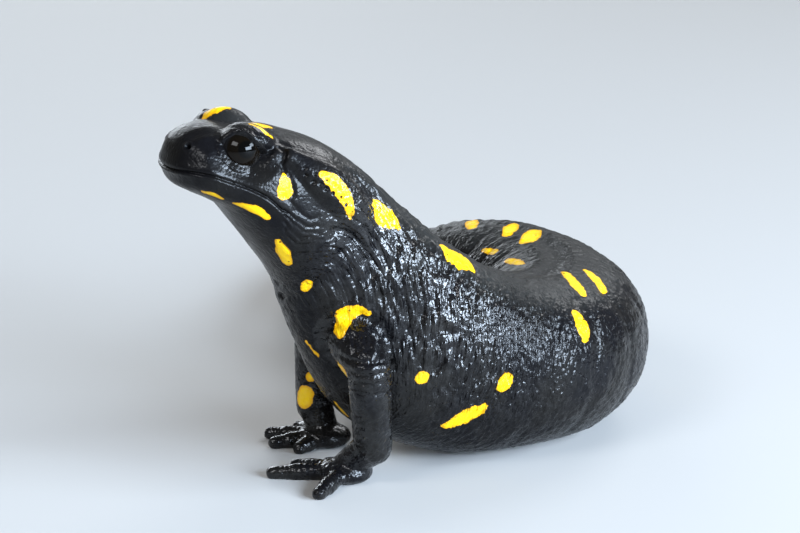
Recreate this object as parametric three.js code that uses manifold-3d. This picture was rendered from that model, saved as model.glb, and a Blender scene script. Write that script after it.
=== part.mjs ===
// A fire salamander, life size, still, propped up on straight forelegs with its belly, hind feet and tail
// on the floor. Millimetres, +Z up. The head looks along -X and a little along -Y, the body curls round
// to the animal's right, and the origin is the middle of the belly's flat, on the floor.
import * as THREE from "three";
import { mergeVertices } from "three/addons/utils/BufferGeometryUtils.js";
import Module from "manifold-3d";

const wasm = await Module();
wasm.setup();

// ---------------------------------------------------------------- driving dimensions

const GAP = 0.3; // between pieces that meet
const SINK = 0.35; // how far soft undersides press below the floor before the floor flattens them
const TOTAL_LENGTH = 182; // along the spine, snout to tail tip
const CONTACT = 62; // where the belly's flat lies, along the spine from the snout
const SNOUT_ROUND = 4.6; // the snout's end is this long an ellipse
const SNOUT_LIFT = 2.3; // and its tip is this far above the mouth
const TAIL_ROUND = 2.2; // the tail's end is this long

// Where one piece of the body ends and the next begins, along the spine.
const CUTS = {
  head: [0.05, 19],
  neck: [19, 33],
  trunk_front: [33, 54],
  trunk_middle: [54, 74],
  trunk_rear: [74, 98],
  tail_base: [98, 120],
  tail_middle: [120, 148],
  tail_tip: [148, 181.95],
};

// The animal along its spine. s runs from the snout. yaw and pitch are the way it faces, in degrees:
// yaw 0 looks along -X and 90 along -Y, pitch is upwards. wide is the half width, up and down the
// depths above and below the spine line, which in the head is the mouth's level.
const BODY = [
  { s: 0, yaw: 24, pitch: 22, wide: 6.2, up: 5.3, down: 3.8 },
  { s: 4, yaw: 24, pitch: 22, wide: 7.0, up: 6.3, down: 2.3 },
  { s: 8, yaw: 24, pitch: 22, wide: 7.8, up: 7.0, down: 2.7 },
  { s: 12, yaw: 24, pitch: 22, wide: 8.7, up: 8.0, down: 4.8 },
  { s: 17, yaw: 24, pitch: 23, wide: 9.2, up: 8.4, down: 7.8 },
  { s: 21, yaw: 24, pitch: 30, wide: 8.8, up: 7.9, down: 9.8 },
  { s: 26, yaw: 23, pitch: 44, wide: 8.6, up: 7.3, down: 11.6 },
  { s: 32, yaw: 22, pitch: 50, wide: 9.6, up: 7.8, down: 13.4 },
  { s: 42, yaw: 21, pitch: 44, wide: 10.8, up: 9.6, down: 15.9 },
  { s: 50, yaw: 27, pitch: 27, wide: 11.5, up: 10.4, down: 13.9 },
  { s: 58, yaw: 44, pitch: 10, wide: 12.1, up: 10.6, down: 11.2 },
  { s: 66, yaw: 69, pitch: 1, wide: 12.3, up: 10.4, down: 10.6 },
  { s: 74, yaw: 93, pitch: -3, wide: 12.0, up: 10.2, down: 10.2 },
  { s: 82, yaw: 116, pitch: -5, wide: 11.0, up: 10.0, down: 9.8 },
  { s: 90, yaw: 136, pitch: -4, wide: 9.8, up: 9.6, down: 9.0 },
  { s: 98, yaw: 147, pitch: 6, wide: 8.0, up: 8.2, down: 7.6 },
  { s: 106, yaw: 142, pitch: 16, wide: 6.4, up: 6.8, down: 6.4 },
  { s: 114, yaw: 126, pitch: 18, wide: 5.4, up: 5.8, down: 5.4 },
  { s: 124, yaw: 104, pitch: 12, wide: 4.7, up: 5.0, down: 4.7 },
  { s: 134, yaw: 92, pitch: 4, wide: 4.1, up: 4.4, down: 4.1 },
  { s: 152, yaw: 80, pitch: 3, wide: 3.1, up: 3.3, down: 3.1 },
  { s: 174, yaw: 76, pitch: 3, wide: 1.9, up: 2.0, down: 1.9 },
  { s: 182, yaw: 76, pitch: 3, wide: 1.3, up: 1.3, down: 1.3 },
];

// The eye, the lid's bulge over it and the parotoid gland behind it, as s, out from the middle, and up.
const EYE = { s: 7.0, out: 4.6, up: 4.7, radius: 2.6 };
const BROW = { s: 8.1, out: 3.8, up: 5.5, along: 3.6, across: 2.9, high: 3.0 };
const PAROTOID = [
  { s: 12.5, out: 6.8, up: 5.6, radius: 1.5 },
  { s: 17.5, out: 7.2, up: 4.1, radius: 2.9 },
  { s: 21.5, out: 7.4, up: 2.7, radius: 2.7 },
  { s: 25, out: 7.5, up: 1.2, radius: 1.6 },
];

// The mouth's line, snout to corner, as s and height above the spine line.
const MOUTH = [
  { s: -3, up: -0.9 },
  { s: 0.2, up: -0.5 },
  { s: 1.3, up: 0.15 },
  { s: 2.6, up: 0.6 },
  { s: 4.6, up: 0.9 },
  { s: 7.3, up: 0.9 },
  { s: 10.4, up: 0.6 },
  { s: 13.1, up: -0.4 },
];

// Legs. The root is inside the body, as s, out and down from the spine line. The other joints are set off
// from the spine at s: ahead, out, and height above the floor. Toes: the angle outward from straight
// ahead, and the length from the foot's middle.
const FORE_ROOT = { s: 33.5, out: 4.4, down: 7.6 };
const HIND_ROOT = { s: 95, out: 3.4, down: 1.5 };
const LEGS = [
  {
    side: "left",
    names: ["upper_arm", "forearm", "hand"],
    root: FORE_ROOT,
    bend: { ahead: 6, out: 11.6, high: 15.8 },
    ankle: { ahead: 4.4, out: 8.8, high: 5 },
    foot: { ahead: 6.9, out: 5.9, high: 1.25 },
    radii: [4.2, 2.8, 2.4],
    toes: [[-84, 5.6], [-54, 8], [-27, 9.8], [44, 8.4]],
  },
  {
    side: "right",
    names: ["upper_arm", "forearm", "hand"],
    root: FORE_ROOT,
    bend: { ahead: 4.4, out: 11.6, high: 15.8 },
    ankle: { ahead: 5.2, out: 9.8, high: 5 },
    foot: { ahead: 4.4, out: 8.2, high: 1.25 },
    radii: [4.2, 2.8, 2.4],
    toes: [[-26, 5.4], [10, 7.2], [42, 8.2], [78, 7]],
  },
  {
    side: "left",
    names: ["thigh", "shank", "foot"],
    root: HIND_ROOT,
    bend: { ahead: 5.5, out: 14.5, high: 9.5 },
    ankle: { ahead: -1.5, out: 15.5, high: 3.6 },
    foot: { ahead: 1, out: 17, high: 1.25 },
    radii: [4.6, 3.2, 2.3],
    toes: [[-34, 6.2], [-8, 8], [16, 9.4], [40, 9], [68, 7]],
  },
  {
    side: "right",
    names: ["thigh", "shank", "foot"],
    root: HIND_ROOT,
    bend: { ahead: 5.5, out: 14, high: 9.5 },
    ankle: { ahead: -2, out: 14.5, high: 3.6 },
    foot: { ahead: 0.5, out: 16, high: 1.25 },
    radii: [4.6, 3.2, 2.3],
    toes: [[-34, 6.2], [-8, 8], [16, 9.4], [40, 9], [68, 7]],
  },
];

// ---------------------------------------------------------------- small maths

const rad = THREE.MathUtils.degToRad;
const vec = (x, y, z) => new THREE.Vector3(x, y, z);

// A smooth curve through a table's rows at any s: a cubic between rows, with slopes that never overshoot.
function along(rows, key, s) {
  const last = rows.length - 1;
  if (s <= rows[0].s) return rows[0][key];
  if (s >= rows[last].s) return rows[last][key];
  const slope = (i) => (rows[i + 1][key] - rows[i][key]) / (rows[i + 1].s - rows[i].s);
  const tangent = (i) => {
    if (i === 0) return slope(0);
    if (i === last) return slope(last - 1);
    const [before, after] = [slope(i - 1), slope(i)];
    return before * after <= 0 ? 0 : (2 * before * after) / (before + after);
  };
  const i = rows.findIndex((row, k) => s < rows[k + 1].s);
  const h = rows[i + 1].s - rows[i].s;
  const t = (s - rows[i].s) / h;
  const [a, b] = [rows[i][key], rows[i + 1][key]];
  return (
    a * (1 + 2 * t) * (1 - t) ** 2 +
    tangent(i) * h * t * (1 - t) ** 2 +
    b * t * t * (3 - 2 * t) -
    tangent(i + 1) * h * t * t * (1 - t)
  );
}

// The way the body faces at s, its left and its up.
function facing(s) {
  const yaw = rad(along(BODY, "yaw", s));
  const pitch = rad(along(BODY, "pitch", s));
  const forward = vec(
    -Math.cos(pitch) * Math.cos(yaw),
    -Math.cos(pitch) * Math.sin(yaw),
    Math.sin(pitch),
  );
  const left = vec(Math.sin(yaw), -Math.cos(yaw), 0);
  return { forward, left, up: forward.clone().cross(left) };
}

// The spine, walked both ways from above the belly's flat.
const STEP = 0.25;
const SPINE = new Map();
const spineKey = (s) => Math.round(s / STEP);
{
  const start = vec(0, 0, along(BODY, "down", CONTACT) - SINK);
  SPINE.set(spineKey(CONTACT), start);
  for (const way of [1, -1]) {
    let point = start;
    const end = way > 0 ? TOTAL_LENGTH : 0;
    for (let s = CONTACT; way * (end - s) > STEP / 2; s += way * STEP) {
      const middle = facing(s + (way * STEP) / 2).forward;
      point = point.clone().addScaledVector(middle, -way * STEP);
      SPINE.set(spineKey(s + way * STEP), point);
    }
  }
}
function spineAt(s) {
  const low = Math.floor(s / STEP);
  const share = s / STEP - low;
  const a = SPINE.get(low);
  const b = SPINE.get(low + 1) ?? a;
  return a.clone().lerp(b, share);
}

// A point set off from the spine at s: to the left, and up square to the spine.
function beside(s, left, up) {
  const way = facing(s);
  return spineAt(s).addScaledVector(way.left, left).addScaledVector(way.up, up);
}

// A point set off from the spine at s over the ground: ahead, to the left, and at a height.
function overGround(s, ahead, left, high) {
  const way = facing(s);
  const level = vec(way.forward.x, way.forward.y, 0).normalize();
  return spineAt(s).setZ(high).addScaledVector(level, ahead).addScaledVector(way.left, left);
}

// ---------------------------------------------------------------- solids

// Geometry to a manifold-3d solid, turned inside out if it faced inwards.
function solid(geometry) {
  const bare = geometry.clone();
  for (const name of ["normal", "uv"]) bare.deleteAttribute(name);
  const merged = mergeVertices(bare, 1e-4);
  const make = (triVerts) =>
    new wasm.Manifold(
      new wasm.Mesh({ numProp: 3, vertProperties: merged.attributes.position.array, triVerts }),
    );
  const triVerts = new Uint32Array(merged.index.array);
  const made = make(triVerts);
  return made.volume() > 0 ? made : make(triVerts.reverse());
}

// A closed surface through rings of points; each end is closed by a fan to its ring's middle.
function loft(rings) {
  const around = rings[0].length;
  const points = rings.flat();
  const faces = [];
  for (let i = 0; i + 1 < rings.length; i++)
    for (let j = 0; j < around; j++) {
      const [a, b] = [i * around + j, i * around + ((j + 1) % around)];
      faces.push(a, b, a + around, b, b + around, a + around);
    }
  for (const [ring, flip] of [[0, true], [rings.length - 1, false]]) {
    const middle = vec(0, 0, 0);
    for (const p of rings[ring]) middle.addScaledVector(p, 1 / around);
    points.push(middle);
    for (let j = 0; j < around; j++) {
      const [a, b] = [ring * around + j, ring * around + ((j + 1) % around)];
      faces.push(...(flip ? [b, a, points.length - 1] : [a, b, points.length - 1]));
    }
  }
  const geometry = new THREE.BufferGeometry().setFromPoints(points);
  geometry.setIndex(faces);
  return solid(geometry);
}

// A ring round the spine: a superellipse, squarer above than an ellipse where square is over 2.
function bodyRing(s, { around = 24, grow = 0, square = 2.3, squareBelow = 2.2 } = {}) {
  const { left, up } = facing(s);
  const snout = Math.sqrt(Math.max(0, 1 - (1 - Math.min(s / SNOUT_ROUND, 1)) ** 2));
  const tail = Math.sqrt(Math.max(0, 1 - (1 - Math.min((TOTAL_LENGTH - s) / TAIL_ROUND, 1)) ** 2));
  const blunt = Math.min(snout, tail);
  const centre = spineAt(s).addScaledVector(up, SNOUT_LIFT * (1 - snout));
  const wide = along(BODY, "wide", s) * blunt + grow;
  const above = along(BODY, "up", s) * blunt + grow;
  const below = along(BODY, "down", s) * blunt + grow;
  return Array.from({ length: around }, (_, k) => {
    const angle = (2 * Math.PI * k) / around;
    const [c, sn] = [Math.cos(angle), Math.sin(angle)];
    const power = 2 / (sn > 0 ? square : squareBelow);
    const side = wide * Math.sign(c) * Math.abs(c) ** power;
    const rise = (sn > 0 ? above : below) * Math.sign(sn) * Math.abs(sn) ** power;
    return centre.clone().addScaledVector(left, side).addScaledVector(up, rise);
  });
}

// Rings are closer together where the snout and the tail's tip round off.
function bodyLoft([from, to], spacing, options) {
  const [first, last] = [Math.max(from, SNOUT_ROUND), Math.min(to, TOTAL_LENGTH - TAIL_ROUND)];
  const stations = [];
  if (from < first)
    for (const share of [0, 0.1, 0.26, 0.5, 0.76]) stations.push(from + (first - from) * share);
  const count = Math.max(1, Math.round((last - first) / spacing));
  for (let i = 0; i <= count; i++) stations.push(first + ((last - first) * i) / count);
  if (to > last) for (const share of [0.5, 0.8, 1]) stations.push(last + (to - last) * share);
  return loft(stations.map((s) => bodyRing(s, options)));
}

// A limb's length: round rings along a smooth curve through joints {at, radius}, with rounded ends.
function limb(joints, { around = 12, steps = 4, grow = 0, caps = [35, 70] } = {}) {
  const curve = new THREE.CatmullRomCurve3(joints.map((j) => j.at), false, "centripetal");
  const rows = joints.map((j, i) => ({ s: i / (joints.length - 1), radius: j.radius }));
  const stations = [];
  for (let i = 0; i <= steps; i++) {
    const t = i / steps;
    stations.push({
      centre: curve.getPoint(t),
      way: curve.getTangent(t),
      radius: along(rows, "radius", t) + grow,
    });
  }
  const cap = ({ centre, way, radius }, end) =>
    caps.map(rad).map((angle) => ({
      centre: centre.clone().addScaledVector(way, end * radius * Math.sin(angle)),
      way,
      radius: radius * Math.cos(angle),
    }));
  const all = [...cap(stations[0], -1).reverse(), ...stations, ...cap(stations[steps], 1)];
  const side = vec(0, 1, 0).cross(all[0].way);
  if (side.length() < 0.3) side.set(1, 0, 0);
  const rings = all.map(({ centre, way, radius }) => {
    side.addScaledVector(way, -side.dot(way)).normalize();
    const top = way.clone().cross(side);
    return Array.from({ length: around }, (_, k) => {
      const angle = (2 * Math.PI * k) / around;
      return centre
        .clone()
        .addScaledVector(side, radius * Math.cos(angle))
        .addScaledVector(top, radius * Math.sin(angle));
    });
  });
  return loft(rings);
}

// An ellipsoid with its axes along three directions.
function ellipsoid(centre, axes, radii, segments = [10, 6]) {
  const geometry = new THREE.SphereGeometry(1, ...segments).scale(...radii);
  geometry.applyMatrix4(new THREE.Matrix4().makeBasis(...axes));
  return solid(geometry.translate(centre.x, centre.y, centre.z));
}

const without = (made, ...cutters) => cutters.reduce((left, cutter) => left.subtract(cutter), made);

const underFloor = solid(new THREE.BoxGeometry(400, 400, 40).translate(0, 0, -20));
const onFloor = (made) => made.subtract(underFloor);

// ---------------------------------------------------------------- the head

const bothSides = [["left", 1], ["right", -1]];

const ringsFor = {
  head: { square: 2.7, squareBelow: 2.1 },
  tail_base: { around: 18 },
  tail_middle: { around: 14 },
  tail_tip: { around: 10 },
};
const body = {};
for (const [name, [from, to]] of Object.entries(CUTS)) {
  const start = name === "head" ? from : from + GAP;
  body[name] = bodyLoft([start, to], name === "head" ? 2.4 : 3.4, ringsFor[name]);
}

function eye(side, grow = 0) {
  const way = facing(EYE.s);
  const radius = EYE.radius + grow;
  const centre = beside(EYE.s, side * EYE.out, EYE.up);
  return ellipsoid(centre, [way.forward, way.left, way.up], [radius, radius, radius], [14, 8]);
}
function brow(side) {
  const way = facing(BROW.s);
  const centre = beside(BROW.s, side * BROW.out, BROW.up);
  return ellipsoid(centre, [way.forward, way.left, way.up], [BROW.along, BROW.across, BROW.high]);
}
function parotoid(side, grow = 0) {
  const joints = PAROTOID.map((j) => ({ at: beside(j.s, side * j.out, j.up), radius: j.radius }));
  return limb(joints, { around: 10, grow });
}

// Everything in front of the jaw joint and under the mouth's line, shifted up or down by lift.
function underMouth(lift, behind) {
  const way = facing(0);
  const profile = new THREE.Shape();
  const inPlane = (s, up) => new THREE.Vector2(-s, up);
  const line = MOUTH.map((row) => inPlane(row.s, row.up + lift));
  line[line.length - 1].x -= behind;
  profile.setFromPoints([...line, inPlane(MOUTH.at(-1).s + behind, -20), inPlane(MOUTH[0].s, -20)]);
  const geometry = new THREE.ExtrudeGeometry(profile, { depth: 40, bevelEnabled: false });
  geometry.translate(0, 0, -20);
  const across = way.forward.clone().cross(way.up);
  geometry.applyMatrix4(new THREE.Matrix4().makeBasis(way.forward, way.up, across));
  const snout = spineAt(0);
  return solid(geometry.translate(snout.x, snout.y, snout.z));
}

const headWithBrows = body.head.add(brow(1)).add(brow(-1));
const sockets = bothSides.flatMap(([, side]) => [eye(side, GAP), parotoid(side, GAP)]);
const pieces = {
  head: without(headWithBrows, ...sockets, underMouth(GAP / 2, GAP)),
  lower_jaw: body.head.intersect(underMouth(-GAP / 2, 0)),
};
for (const [name, side] of bothSides) {
  pieces[`eye_${name}`] = eye(side);
  pieces[`parotoid_${name}`] = parotoid(side);
}

// ---------------------------------------------------------------- the body and tail

pieces.neck = without(body.neck, parotoid(1, GAP), parotoid(-1, GAP));
for (const name of Object.keys(CUTS).slice(2)) pieces[name] = onFloor(body[name]);

// ---------------------------------------------------------------- the legs

const fatBody = bodyLoft([18, 125], 2.7, { grow: GAP });

// A hand or foot: a flattened palm, the toes round it, and a neck up to the leg.
function footOf(leg, ankle, foot) {
  const side = leg.side === "left" ? 1 : -1;
  const way = facing(leg.root.s);
  const ahead = vec(way.forward.x, way.forward.y, 0).normalize();
  const outward = way.left.clone().multiplyScalar(side);
  const toward = (angle) =>
    ahead.clone().multiplyScalar(Math.cos(rad(angle))).addScaledVector(outward, Math.sin(rad(angle)));
  const middle = leg.toes[1][0] / 2 + leg.toes[2][0] / 2;
  const palmAhead = toward(middle);
  const palmAcross = vec(0, 0, 1).cross(palmAhead);
  let made = ellipsoid(foot, [palmAhead, palmAcross, vec(0, 0, 1)], [3.4, 3, 1.65]);
  const heel = [{ at: ankle, radius: leg.radii[2] - 0.1 }, { at: foot.clone().setZ(1.8), radius: 1.8 }];
  made = made.add(limb(heel, { around: 8, steps: 2, caps: [50] }));
  for (const [angle, length] of leg.toes) {
    const way = toward(angle);
    const joint = (far, high, radius) => ({
      at: foot.clone().setZ(high).addScaledVector(way, far),
      radius,
    });
    const toe = [joint(1.4, 1.15, 1.1), joint(length * 0.6, 0.85, 0.98), joint(length - 0.7, 0.62, 0.72)];
    made = made.add(limb(toe, { around: 6, steps: 2, caps: [50] }));
  }
  return made;
}

for (const leg of LEGS) {
  const side = leg.side === "left" ? 1 : -1;
  const { root, bend, ankle, foot, radii } = leg;
  const at = (joint) => overGround(root.s, joint.ahead, side * joint.out, joint.high);
  const start = { at: beside(root.s, side * root.out, -root.down), radius: radii[0] };
  const middle = { at: at(bend), radius: radii[1] };
  const end = { at: at(ankle), radius: radii[2] };
  const [upper, lower, last] = leg.names.map((name) => `${name}_${leg.side}`);
  pieces[upper] = without(limb([start, middle]), fatBody);
  const halfway = middle.at.clone().lerp(end.at, 0.5);
  const lowerJoints = [middle, { at: halfway, radius: radii[1] * 0.92 }, end];
  pieces[lower] = without(limb(lowerJoints), fatBody, limb([start, middle], { grow: GAP }));
  const fatLower = limb(lowerJoints, { grow: GAP });
  pieces[last] = onFloor(without(footOf(leg, end.at, at(foot)), fatLower, fatBody));
}

// ---------------------------------------------------------------- the model

const group = new THREE.Group();
function show(name, made, colour, roughness) {
  const mesh = made.getMesh();
  const count = mesh.numProp;
  const points = new Float32Array(mesh.numVert * 3);
  for (let i = 0; i < mesh.numVert; i++)
    points.set(mesh.vertProperties.subarray(i * count, i * count + 3), i * 3);
  const geometry = new THREE.BufferGeometry()
    .setAttribute("position", new THREE.BufferAttribute(points, 3))
    .setIndex(new THREE.BufferAttribute(new Uint32Array(mesh.triVerts), 1));
  const material = new THREE.MeshStandardMaterial({ color: colour, roughness, metalness: 0 });
  const shown = new THREE.Mesh(geometry, material);
  shown.name = name;
  group.add(shown);
}
const SKIN_BLACK = 0x101012;
const EYE_BLACK = 0x060606;
for (const [name, made] of Object.entries(pieces))
  if (name.startsWith("eye")) show(name, made, EYE_BLACK, 0.08);
  else show(name, made, SKIN_BLACK, 0.35);

export default group;
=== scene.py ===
import itertools
import math

import bmesh
import bpy
import numpy as np
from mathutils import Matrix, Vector


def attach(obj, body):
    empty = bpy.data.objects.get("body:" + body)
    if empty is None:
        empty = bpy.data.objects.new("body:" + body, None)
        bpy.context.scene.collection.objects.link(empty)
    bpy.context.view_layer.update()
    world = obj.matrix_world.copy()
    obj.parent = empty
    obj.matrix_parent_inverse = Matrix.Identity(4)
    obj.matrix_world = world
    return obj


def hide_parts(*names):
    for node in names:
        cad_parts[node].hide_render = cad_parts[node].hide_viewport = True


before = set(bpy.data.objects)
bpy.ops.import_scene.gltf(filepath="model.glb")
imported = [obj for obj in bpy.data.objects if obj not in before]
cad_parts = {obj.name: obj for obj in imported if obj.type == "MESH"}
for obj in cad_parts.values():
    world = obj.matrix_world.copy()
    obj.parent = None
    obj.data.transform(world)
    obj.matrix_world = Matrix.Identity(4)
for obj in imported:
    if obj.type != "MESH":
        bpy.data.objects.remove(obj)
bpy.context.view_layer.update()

# A fire salamander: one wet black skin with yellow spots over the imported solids, and two eyeballs.
# Shapes are worked out in millimetres in the solids' own frame, and turned into metres at the end.
MM = 0.001
VOXEL = 0.3  # grain of the skin's net
BOTH_SIDES = (1, -1)  # left and right
FAR, FARTHER = 9.0, 99.0  # distances that stand for nothing near

# -------- the solids' own named sizes

SINK = 0.35  # how far soft undersides press below the floor before the floor flattens them
TOTAL_LENGTH = 182.0  # along the spine, snout to tail tip
CONTACT = 62.0  # where the belly's flat lies, along the spine from the snout
SNOUT_ROUND = 4.6  # the snout's end is this long an ellipse
SNOUT_LIFT = 2.3  # and its tip is this far above the mouth
TAIL_ROUND = 2.2  # the tail's end is this long
STEP = 0.25  # between the spine's points

# Along the spine from the snout: s, yaw, pitch, half width, depth above and depth below.
BODY = np.array([
    (0, 24, 22, 6.2, 5.3, 3.8),
    (4, 24, 22, 7, 6.3, 2.3),
    (8, 24, 22, 7.8, 7, 2.7),
    (12, 24, 22, 8.7, 8, 4.8),
    (17, 24, 23, 9.2, 8.4, 7.8),
    (21, 24, 30, 8.8, 7.9, 9.8),
    (26, 23, 44, 8.6, 7.3, 11.6),
    (32, 22, 50, 9.6, 7.8, 13.4),
    (42, 21, 44, 10.8, 9.6, 15.9),
    (50, 27, 27, 11.5, 10.4, 13.9),
    (58, 44, 10, 12.1, 10.6, 11.2),
    (66, 69, 1, 12.3, 10.4, 10.6),
    (74, 93, -3, 12, 10.2, 10.2),
    (82, 116, -5, 11, 10, 9.8),
    (90, 136, -4, 9.8, 9.6, 9),
    (98, 147, 6, 8, 8.2, 7.6),
    (106, 142, 16, 6.4, 6.8, 6.4),
    (114, 126, 18, 5.4, 5.8, 5.4),
    (124, 104, 12, 4.7, 5, 4.7),
    (134, 92, 4, 4.1, 4.4, 4.1),
    (152, 80, 3, 3.1, 3.3, 3.1),
    (174, 76, 3, 1.9, 2, 1.9),
    (182, 76, 3, 1.3, 1.3, 1.3),
], float)

EYE = dict(s=7.0, out=4.6, up=4.7, radius=2.6)
BROW = dict(s=8.1, out=3.8, up=5.5, radii=(3.6, 2.9, 3.0))
PAROTOID = [(12.5, 6.8, 5.6, 1.5), (17.5, 7.2, 4.1, 2.9), (21.5, 7.4, 2.7, 2.7), (25, 7.5, 1.2, 1.6)]
MOUTH_END = 13.1
MOUTH = np.array([
    (-3, -0.9), (0.2, -0.5), (1.3, 0.15), (2.6, 0.6), (4.6, 0.9), (7.3, 0.9), (10.4, 0.6), (MOUTH_END, -0.4),
])

FORE_ROOT = dict(s=33.5, out=4.4, down=7.6)
HIND_ROOT = dict(s=95.0, out=3.4, down=1.5)
HIND_TOES = [(-34, 6.2), (-8, 8), (16, 9.4), (40, 9), (68, 7)]
LEGS = [
    dict(side=1, root=FORE_ROOT, bend=(6, 11.6, 15.8), ankle=(4.4, 8.8, 5), foot=(6.9, 5.9, 1.25),
         radii=(4.2, 2.8, 2.4), toes=[(-84, 5.6), (-54, 8), (-27, 9.8), (44, 8.4)]),
    dict(side=-1, root=FORE_ROOT, bend=(4.4, 11.6, 15.8), ankle=(5.2, 9.8, 5), foot=(4.4, 8.2, 1.25),
         radii=(4.2, 2.8, 2.4), toes=[(-26, 5.4), (10, 7.2), (42, 8.2), (78, 7)]),
    dict(side=1, root=HIND_ROOT, bend=(5.5, 14.5, 9.5), ankle=(-1.5, 15.5, 3.6), foot=(1, 17, 1.25),
         radii=(4.6, 3.2, 2.3), toes=HIND_TOES),
    dict(side=-1, root=HIND_ROOT, bend=(5.5, 14, 9.5), ankle=(-2, 14.5, 3.6), foot=(0.5, 16, 1.25),
         radii=(4.6, 3.2, 2.3), toes=HIND_TOES),
]

# -------- small maths


def smooth_curve(places, values):
    """A cubic through the values at the places, with slopes that never overshoot."""
    places, values = np.asarray(places, float), np.asarray(values, float)
    gaps = np.diff(places)
    slope = np.diff(values) / gaps
    tangent = np.concatenate([slope[:1], np.zeros(len(values) - 2), slope[-1:]])
    before, after = slope[:-1], slope[1:]
    same_way = before * after > 0
    total = np.where(same_way, before + after, 1)
    tangent[1:-1] = np.where(same_way, 2 * before * after / total, 0)

    def at(s):
        s = np.clip(s, places[0], places[-1])
        i = np.clip(np.searchsorted(places, s, side="right") - 1, 0, len(gaps) - 1)
        h = gaps[i]
        t = (s - places[i]) / h
        return (
            values[i] * (1 + 2 * t) * (1 - t) ** 2
            + tangent[i] * h * t * (1 - t) ** 2
            + values[i + 1] * t * t * (3 - 2 * t)
            - tangent[i + 1] * h * t * t * (1 - t)
        )

    return at


YAW, PITCH, WIDE, UP, DOWN = (smooth_curve(BODY[:, 0], BODY[:, k]) for k in range(1, 6))
mouth_height = smooth_curve(MOUTH[:, 0], MOUTH[:, 1])


def unit(v):
    return v / np.linalg.norm(v, axis=-1, keepdims=True)


def size(rows):
    """Each row's length."""
    return np.linalg.norm(rows, axis=1)


def facing(s):
    """The way the body faces at s, its left and its up."""
    yaw, pitch = np.radians(YAW(s)), np.radians(PITCH(s))
    forward = np.stack([-np.cos(pitch) * np.cos(yaw), -np.cos(pitch) * np.sin(yaw), np.sin(pitch)], -1)
    left = np.stack([np.sin(yaw), -np.cos(yaw), np.zeros_like(yaw)], -1)
    return forward, left, np.cross(forward, left)


def walk_spine():
    """The spine's points every STEP, walked both ways from above the belly's flat."""
    count = int(TOTAL_LENGTH / STEP)
    points = np.zeros((count + 1, 3))
    middle = int(CONTACT / STEP)
    points[middle, 2] = DOWN(CONTACT) - SINK
    ahead = facing((np.arange(count) + 0.5) * STEP)[0]
    for i in range(middle, count):
        points[i + 1] = points[i] - STEP * ahead[i]
    for i in range(middle, 0, -1):
        points[i - 1] = points[i] + STEP * ahead[i - 1]
    return points


SPINE = walk_spine()


def spine_at(s):
    place = np.clip(np.asarray(s, float) / STEP, 0, len(SPINE) - 1.001)
    low = place.astype(int)
    share = (place - low)[..., None]
    return SPINE[low] * (1 - share) + SPINE[low + 1] * share


def beside(s, left, up):
    """A point set off from the spine at s: to the left, and up square to the spine."""
    way = facing(s)
    left, up = np.asarray(left, float)[..., None], np.asarray(up, float)[..., None]
    return spine_at(s) + way[1] * left + way[2] * up


def over_ground(s, ahead, left, high):
    """A point set off from the spine at s over the ground: ahead, to the left, and at a height."""
    forward, side, _ = facing(s)
    level = unit(forward * (1, 1, 0))
    point = spine_at(s) + level * ahead + side * left
    point[2] = high
    return point


def from_root(root, places):
    """Points set off over the ground from a leg's root, each as ahead, left and height."""
    return [over_ground(root["s"], *place) for place in places]


def ramp(x, start, end):
    """From 0 at start to 1 at end, smoothly."""
    t = np.clip((x - start) / (end - start), 0, 1)
    return t * t * (3 - 2 * t)


def hump(x, middle, width):
    """1 at the middle, fading within about the width."""
    return np.exp(-(((x - middle) / width) ** 2))


def mix(number, shift, times, last_shift):
    """Mixes the bits of whole numbers, so that neighbours come out unlike."""
    number = number & 0xFFFFFFFF
    number = ((number ^ (number >> shift)) * times) & 0xFFFFFFFF
    return number ^ (number >> last_shift)


def three_parts(number, bits):
    """Each number's lowest bits as three smaller numbers."""
    return np.stack([(number >> k * bits) & (2**bits - 1) for k in range(3)], 1)


def noise(points, seed):
    """Smooth noise, about -1 to 1, whose grain is one unit of the points."""
    cell = np.floor(points).astype(np.int64)
    inside = points - cell
    fade = inside**3 * (inside * (inside * 6 - 15) + 10)
    total = np.zeros(len(points))
    for corner in itertools.product((0, 1), repeat=3):
        x, y, z = (cell + corner).T
        mixed = mix(x * 374761393 + y * 668265263 + z * 1103515245 + seed * 97531, 13, 1274126177, 16)
        slopes = three_parts(mixed, 10) / 511.5 - 1
        share = np.prod(np.where(corner, fade, 1 - fade), axis=1)
        total += share * ((inside - corner) * slopes).sum(1)
    return total * 1.4


# -------- closed shapes to be made one


def loft(rings):
    """Points and faces of a closed surface through rings, each end closed by a fan."""
    count, around = rings.shape[:2]
    points = np.concatenate([rings.reshape(-1, 3), rings[0].mean(0)[None], rings[-1].mean(0)[None]])
    i, j = np.meshgrid(np.arange(count - 1), np.arange(around), indexing="ij")
    a, b = i * around + j, i * around + (j + 1) % around
    quads = np.stack([a, b, b + around, a + around], -1).reshape(-1, 4)
    k = np.arange(around)
    nxt = (k + 1) % around
    base = (count - 1) * around
    first = np.stack([nxt, k, np.full(around, count * around)], 1)
    last = np.stack([base + k, base + nxt, np.full(around, count * around + 1)], 1)
    return points, quads.tolist() + first.tolist() + last.tolist()


def blunt_share(s):
    """How far the body has opened out from its rounded ends."""
    snout, tail = (
        np.sqrt(np.clip(1 - (1 - np.minimum(share, 1)) ** 2, 0, None))
        for share in (s / SNOUT_ROUND, (TOTAL_LENGTH - s) / TAIL_ROUND)
    )
    return snout, np.minimum(snout, tail)


def squareness(s):
    """The ring's power above and below: the head is flatter on top and rounder under than the rest."""
    head = 1 - ramp(s, 14, 23)
    return 2.3 + 0.4 * head, 2.2 - 0.1 * head


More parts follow.
